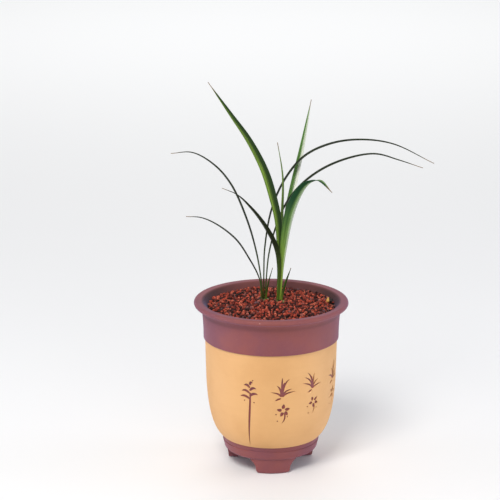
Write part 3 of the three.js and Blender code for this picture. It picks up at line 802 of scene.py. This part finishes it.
def add_grain(bm, tones, centre, size, tone_span, rng):
    """One broken stone: a dented icosphere with its own squash, turn and tone."""
    angle = rng.uniform(0, 6.28)
    turn = Matrix.Rotation(angle, 4, Vector((rng.gauss(0, 1), rng.gauss(0, 1), rng.gauss(0, 1))))
    squash = Matrix.Diagonal((rng.uniform(0.8, 1.2), rng.uniform(0.75, 1.05), rng.uniform(0.6, 0.9), 1))
    place = Matrix.Translation(centre) @ turn @ squash
    made = bmesh.ops.create_icosphere(bm, subdivisions=1, radius=size, matrix=place)
    shade_of_stone = rng.uniform(*tone_span)
    for vert in made["verts"]:
        vert.co = centre + (vert.co - centre) * rng.uniform(0.78, 1.22)
        for face in vert.link_faces:
            face[tones] = shade_of_stone


def make_grains(name, seed, pitch, sink, sizes, tone_span):
    """One layer of grains on a jittered grid of offset rows."""
    rng = random.Random(seed)
    bm = bmesh.new()
    tones = bm.faces.layers.float.new("tone")
    rows = int(FILL_RADIUS / (pitch * 0.866)) + 1
    for row in range(-rows, rows + 1):
        for column in range(-rows - 1, rows + 2):
            spot = Vector(((column + 0.5 * (row % 2)) * pitch, row * pitch * 0.866))
            spot += Vector((rng.uniform(-0.4, 0.4), rng.uniform(-0.4, 0.4))) * pitch
            size = rng.uniform(*sizes)
            lift = rng.uniform(-0.5, 0.5) * size - sink
            clear = min((spot + AXIS.to_2d() - other).length for other in kept_clear)
            if spot.length > FILL_RADIUS - 0.8 * size or clear < 0.85 * size:
                continue
            centre = AXIS + Vector((*spot, mound_at(spot.length) + lift))
            add_grain(bm, tones, centre, size, tone_span, rng)
    grains = as_object(bm, name, grit)
    settle(grains, "volcanic_grit")


make_grains("grit_grains_upper", 11, 3.7 * MM, 1.0 * MM, (1.2 * MM, 2.15 * MM), (0.1, 1.0))
# Painted shade: the lower layer takes only the darkest tones, so that the gaps read as shadow.
make_grains("grit_grains_lower", 12, 3.6 * MM, 3.8 * MM, (1.6 * MM, 2.5 * MM), (0.0, 0.3))

# %% [markdown]
# ## Leaf finish
# A cymbidium's leaf is a long strap with veins that run from base to tip. Its two halves slope from the
# midrib, so one may look dark and the other pale, and its tip dries to tan. The pattern must follow the
# blade, so it reads the blade's own map: one axis across the leaf and one along it. One group makes the
# veins, a painted shade over one side, a painted highlight over the other, and the tip.

# %% Shared group: blade
blade_group, given, result = new_group(
    "leaf_blade",
    {
        "Blade": ("Vector", None),
        "Green": ("Color", colour(88, 128, 50)),
        "Deep Green": ("Color", colour(40, 66, 28)),
        "Base Green": ("Color", colour(92, 116, 48)),
        "Highlight": ("Color", colour(236, 238, 226)),
        "Dry": ("Color", colour(128, 104, 74)),
        "Base Reach": ("Float", 0.3),
        "Shade Side": ("Float", 0.0),
        "Shade From": ("Float", 0.1),
        "Highlight Side": ("Float", 0.0),
    },
    {"Color": "Color", "Height": "Float", "Roughness": "Float"},
)
parts = node(blade_group, "SeparateXYZ", {0: given["Blade"]}).outputs
stretched = node(blade_group, "Mapping", {"Vector": given["Blade"], "Scale": (22, 1.6, 1)}).outputs[0]
vein_noise = {"Vector": stretched, "Scale": 1, "Detail": 3, "Roughness": 0.6}
veins = node(blade_group, "TexNoise", vein_noise).outputs[0]
patch = node(blade_group, "Mapping", {"Vector": given["Blade"], "Scale": (2, 9, 1)}).outputs[0]
patches = node(blade_group, "TexNoise", {"Vector": patch, "Scale": 1, "Detail": 3}).outputs[0]
offset = maths(blade_group, "SUBTRACT", parts[0], 0.5)
streak = span(blade_group, veins, 0.3, 0.7, -0.22, 0.22)


def side_share(amount, low, high):
    """How far a spot lies towards one side of the blade, with its edge broken up along the veins."""
    toward = times(blade_group, offset, amount)
    frayed = times(blade_group, streak, maths(blade_group, "ABSOLUTE", amount))
    share = span(blade_group, maths(blade_group, "ADD", toward, frayed), low, high)
    strength = maths(blade_group, "MINIMUM", maths(blade_group, "ABSOLUTE", amount), 1.0)
    return times(blade_group, share, strength)


greens = mix(blade_group, span(blade_group, veins, 0.36, 0.64), given["Deep Green"], given["Green"])
from_base = maths(blade_group, "DIVIDE", parts[1], given["Base Reach"])
based = mix(blade_group, from_base, given["Base Green"], greens)
begun = maths(blade_group, "SUBTRACT", parts[1], given["Shade From"])
upper = span(blade_group, begun, -0.15, 0.25, 0.25, 1.0)
# Painted shade: one side of the blade is darkened towards the deep green, from the given share of its length
# up.
shade_share = times(blade_group, side_share(given["Shade Side"], -0.14, 0.1), upper)
shade_mixed = mix(blade_group, shade_share, based, given["Deep Green"])
worn = mix(blade_group, span(blade_group, patches, 0.5, 0.75, 0, 0.3), shade_mixed, given["Deep Green"])
lower = span(blade_group, parts[1], 0.5, 0.95, 1.0, 0.55)
off_base = times(blade_group, lower, span(blade_group, parts[1], 0.08, 0.35))
# Painted highlight: one side of the blade is paled towards white, weaker at the base and near the tip.
highlight_share = times(blade_group, side_share(given["Highlight Side"], 0.08, 0.38), off_base)
highlighted = mix(blade_group, highlight_share, worn, given["Highlight"])
tip_edge = maths(blade_group, "ADD", parts[1], times(blade_group, veins, 0.06))
tipped = mix(blade_group, span(blade_group, tip_edge, 0.965, 1.02), highlighted, given["Dry"])
blade_group.links.new(tipped, result["Color"])
blade_group.links.new(veins, result["Height"])
blade_group.links.new(span(blade_group, patches, 0.3, 0.7, 0.38, 0.52), result["Roughness"])


def leaf_material(name, green, deep, base, reach, shade_side=0.0, shade_from=0.1, highlight_side=0.0):
    """A leaf finish with a painted shade side and a painted highlight side. A side above nought lies where the
    blade's map is high, and one below it where low.
    """
    material, tree, shader = new_material(name, Specular_IOR_Level=0.16)
    blade = node(tree, "UVMap", {}, uv_map="blade").outputs[0]
    settings = {"Blade": blade, "Green": green, "Deep Green": deep, "Base Green": base}
    settings.update({"Base Reach": reach, "Shade Side": shade_side, "Shade From": shade_from})
    settings["Highlight Side"] = highlight_side
    made = use_group(tree, blade_group, settings)
    tree.links.new(made["Roughness"], shader["Roughness"])
    dress(tree, shader, made["Color"], made["Height"], 0.15 * MM)
    return material


# The side numbers below paint shade onto one half of a leaf and a highlight onto the other. The left growth's
# leaves are dark green, made darker still as painted shade.
OLIVE = colour(122, 146, 54)
dark_leaf = leaf_material("dark_leaf", colour(40, 50, 24), colour(16, 24, 12), colour(72, 94, 34), 0.3)
bright_leaf = leaf_material("bright_leaf", colour(128, 160, 60), colour(32, 54, 18), OLIVE, 0.25, 1.1)
broad_leaf = leaf_material(
    "broad_leaf", colour(136, 180, 76), colour(24, 64, 36), colour(152, 180, 66),
    0.5, -1.1, 0.42, highlight_side=0.65,
)
# Painted highlight: most of one half of this leaf is paled to white, streaked along the veins.
highlight_streaked_leaf = leaf_material(
    "highlight_streaked_leaf", colour(104, 146, 70), colour(50, 90, 34), OLIVE, 0.3, highlight_side=-1.9,
)
slim_leaf = leaf_material("slim_leaf", colour(134, 160, 74), colour(66, 90, 36), OLIVE, 0.3, 0.8)
shaded_leaf = leaf_material("shaded_leaf", colour(32, 40, 14), colour(16, 24, 6), colour(84, 110, 38), 0.42)
sheath_leaf = leaf_material("sheath_leaf", colour(84, 106, 42), colour(38, 56, 20), OLIVE, 0.3, 0.6)

# %% [markdown]
# ## Leaf blades
# A blade starts as a flat grid. Its long axis is laid along the leaf's route and its short axis is turned to
# the way that the leaf faces. Both halves rise from the midrib, fine pleats run along the veins, and Solidify
# gives the sheet its half millimetre of flesh.


# %% Routes
ROUTE_STEPS = 16


def smooth_route(points):
    """A smooth curve through the points: centripetal Catmull-Rom spans, each drawn as a Bezier curve."""
    ends = [2 * points[0] - points[1], *points, 2 * points[-1] - points[-2]]
    route = [points[0]]
    for a, b, c, d in zip(ends, ends[1:], ends[2:], ends[3:]):
        ab, bc, cd = (math.sqrt((q - p).length) for p, q in ((a, b), (b, c), (c, d)))
        leave = ((b - a) / ab - (c - a) / (ab + bc)) * bc + (c - b)
        reach = ((d - c) / cd - (d - b) / (bc + cd)) * bc + (c - b)
        route += geometry.interpolate_bezier(b, b + leave / 3, c - reach / 3, c, ROUTE_STEPS + 1)[1:]
    return route


def measured(route):
    """A function that gives the place and direction at a share of the route's length."""
    lengths = [0.0]
    for a, b in zip(route, route[1:]):
        lengths.append(lengths[-1] + (b - a).length)

    def at(share):
        distance = share * lengths[-1]
        i = min(max(bisect.bisect_right(lengths, distance), 1), len(lengths) - 1)
        part = (distance - lengths[i - 1]) / (lengths[i] - lengths[i - 1])
        before = route[i] - route[i - 1]
        after = route[min(i + 1, len(route) - 1)] - route[max(i - 2, 0)]
        direction = before.normalized().lerp(after.normalized(), 0.5).normalized()
        return route[i - 1].lerp(route[i], part), direction

    return at


def half_width(widths, along):
    """Half the blade's width at a share of its length: a smooth swell and a long taper."""
    base, widest, where = widths
    if along < where:
        share = along / where
        return base + (widest - base) * share * share * (3 - 2 * share)
    rest = (along - where) / (1 - where)
    return max(widest * (1 - rest ** 1.7), 0.3)


# %% Blades
BLADE_ACROSS = 10
BLADE_ALONG = 110
BLADE_THICKNESS = 0.5 * MM
PLEAT_DEPTH = 0.1 * MM


def make_blade(name, leaf, material, slot):
    """A folded leaf blade along its route, which stands for the CAD node of the same name."""
    bm = bmesh.new()
    blade_map = bm.loops.layers.uv.new("blade")
    bmesh.ops.create_grid(bm, x_segments=BLADE_ACROSS, y_segments=BLADE_ALONG, size=1)
    for face in bm.faces:
        for loop in face.loops:
            loop[blade_map].uv = ((loop.vert.co.x + 1) / 2, (loop.vert.co.y + 1) / 2)
    at = measured(smooth_route([leaf["crown"] + Vector(p) * MM for p in leaf["points"]]))
    base_fold, tip_fold = leaf.get("fold", PLAIN_FOLD)
    for vert in bm.verts:
        across, along = vert.co.x, (vert.co.y + 1) / 2
        place, direction = at(along)
        half = half_width(leaf["widths"], along) * MM
        bearing = math.radians(leaf["facing"][0] + (leaf["facing"][1] - leaf["facing"][0]) * along)
        side = Vector((math.cos(bearing), math.sin(bearing), 0))
        side = (side - side.dot(direction) * direction).normalized()
        upper = direction.cross(side)
        fold = base_fold + (tip_fold - base_fold) * along
        rise = math.sqrt(across * across + 0.01) * half * fold
        pleat = PLEAT_DEPTH * math.cos(across * 3 * math.pi) * half / (3 * MM)
        vert.co = place + side * across * half + upper * (rise + pleat)
    bmesh.ops.recalc_face_normals(bm, faces=bm.faces)
    shade(bm, 80)
    blade = as_object(bm, name + "_blade", material)
    flesh = blade.modifiers.new("flesh", "SOLIDIFY")
    flesh.thickness = BLADE_THICKNESS
    flesh.offset = 0
    settle(blade, slot, name)


FINISHES = {
    "left_growth_leaf": (dark_leaf, "dark_leaf"), "right_growth_leaf": (bright_leaf, "bright_leaf"),
    "left_growth_bract": (sheath_leaf, "sheath_leaf"), "right_growth_bract": (sheath_leaf, "sheath_leaf"),
    "right_growth_leaf_2": (slim_leaf, "bright_leaf"), "right_growth_leaf_3": (highlight_streaked_leaf, "bright_leaf"),
    "right_growth_leaf_4": (broad_leaf, "bright_leaf"), "right_growth_leaf_5": (shaded_leaf, "bright_leaf"),
}
for name, leaf in LEAVES.items():
    material, slot = FINISHES.get(name) or FINISHES[name.rsplit("_", 1)[0]]
    make_blade(name, leaf, material, slot)

# %% [markdown]
# ## Hidden and loose parts
# The rootstock and the potsherd lie inside the pot. Their CAD shapes are right as they are, so they keep
# them and only get a finish. The bark chip and the twig lie on top and are made anew, each from a few
# rough faces. They lie a little higher than in the CAD model, because the grains stand up from the smooth
# mound that the CAD model has.

# %% Root, bark and stem finishes
def fibrous_material(name, light, dark, stretch, depth):
    """A streaky natural surface, for bark, dead stems and roots."""
    material, tree, shader = new_material(name, 0.85)
    coords = object_coords(tree)
    pulled = node(tree, "Mapping", {"Vector": coords, "Scale": stretch}).outputs[0]
    fibres = node(tree, "TexNoise", {"Vector": pulled, "Scale": 1, "Detail": 5, "Roughness": 0.65}).outputs[0]
    dress(tree, shader, ramp(tree, fibres, [(0.3, dark), (0.7, light)]), fibres, depth)
    return material


pale_root = fibrous_material("pale_root", colour(150, 150, 92), colour(84, 84, 44), (90, 90, 40), 0.3 * MM)
pale_bark = fibrous_material(
    "pale_bark", colour(226, 178, 92), colour(150, 96, 40), (1400, 300, 1400), 0.4 * MM,
)
dead_stem = fibrous_material("dead_stem", colour(34, 25, 20), colour(14, 10, 8), (700, 700, 300), 0.3 * MM)

chip_low, chip_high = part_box("bark_chip")
tree = pale_bark.node_tree
shader = tree.nodes["Principled BSDF"].inputs
bark_colour = shader["Base Color"].links[0].from_socket
across = node(tree, "SeparateXYZ", {0: object_coords(tree)}).outputs[0]
# One end of the chip is darkened to near black.
dark_end = span(tree, across, (2 * chip_low[0] + chip_high[0]) / 3, (chip_low[0] + chip_high[0]) / 2)
tree.links.new(mix(tree, dark_end, bark_colour, colour(26, 16, 12)), shader["Base Color"])

for name, material in (("rootstock", pale_root), ("drain_crock", potsherd_clay)):
    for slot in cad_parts[name].material_slots:
        slot.link = "OBJECT"
        slot.material = material
    print(name, "slots:", [slot.material.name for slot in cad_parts[name].material_slots])


# %% Bark chip and twig
CHIP_LIFT = Vector((0, 0, 1.6 * MM))
CHIP_TILT = 22
CHIP_HEADING = 70
TWIG_LIFT = Vector((0, 0, 1.7 * MM))
TWIG_RISE = 4.5 * MM
TWIG_THICK_END = 0.95 * MM
TWIG_THIN_END = 0.55 * MM


def make_flake(name, node_name, material, slot, seed):
    """A rough flake about the size of its CAD node's box: a squashed cube, dented, bevelled and tilted."""
    low, high = (Vector(corner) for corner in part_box(node_name))
    rng = random.Random(seed)
    bm = bmesh.new()
    bmesh.ops.create_cube(bm, size=1)
    bmesh.ops.subdivide_edges(bm, edges=bm.edges, cuts=2, use_grid_fill=True)
    size = high - low
    tilt = Matrix.Rotation(math.radians(CHIP_TILT), 3, "X")
    turn = tilt @ Matrix.Rotation(math.radians(CHIP_HEADING), 3, "Z")
    middle = (low + high) / 2 + CHIP_LIFT
    for vert in bm.verts:
        vert.co.x *= 1 - 0.45 * abs(vert.co.y)
        vert.co += Vector([rng.uniform(-0.07, 0.07) for _ in range(3)])
        vert.co = Vector((vert.co.x * size.y * 0.8, vert.co.y * size.x * 0.95, vert.co.z * size.z * 0.7))
        vert.co = turn @ vert.co + middle
    bmesh.ops.bevel(bm, geom=bm.edges, offset=0.12 * MM, offset_type="OFFSET", segments=1, affect="EDGES",
                    profile=0.5, material=-1)
    shade(bm, 50)
    settle(as_object(bm, name, material), slot, node_name)


def make_stem(name, node_name, material, slot):
    """A thin, bent dead stem over the diagonal of its CAD node's box, with one end up among the grains."""
    low, high = (Vector(corner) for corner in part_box(node_name))
    middle = (low + high) / 2 + TWIG_LIFT
    length = Vector((high.x - low.x, high.y - low.y, 0)).length
    lie = Vector((high.x - low.x, high.y - low.y, TWIG_RISE)).to_track_quat("Z", "Y").to_matrix()
    bm = bmesh.new()
    taper = {"radius1": TWIG_THICK_END, "radius2": TWIG_THIN_END, "depth": length * 0.94}
    bmesh.ops.create_cone(bm, cap_ends=True, segments=8, **taper)
    long_edges = [e for e in bm.edges if abs(e.verts[0].co.z - e.verts[1].co.z) > length / 2]
    bmesh.ops.subdivide_edges(bm, edges=long_edges, cuts=9)
    for vert in bm.verts:
        share = vert.co.z / length
        swell = 1 + 0.25 * noise.noise(vert.co / (2 * MM))
        bend = Vector((0.5 * MM, -0.9 * MM, 0)) * (1 - 4 * share * share)
        vert.co = lie @ (Vector((vert.co.x * swell, vert.co.y * swell, vert.co.z)) + bend) + middle
    bmesh.ops.recalc_face_normals(bm, faces=bm.faces)
    shade(bm, 60)
    settle(as_object(bm, name, material), slot, node_name)


make_flake("bark_flake", "bark_chip", pale_bark, "pale_bark", 5)
make_stem("dead_twig", "twig", dead_stem, "dead_stem")
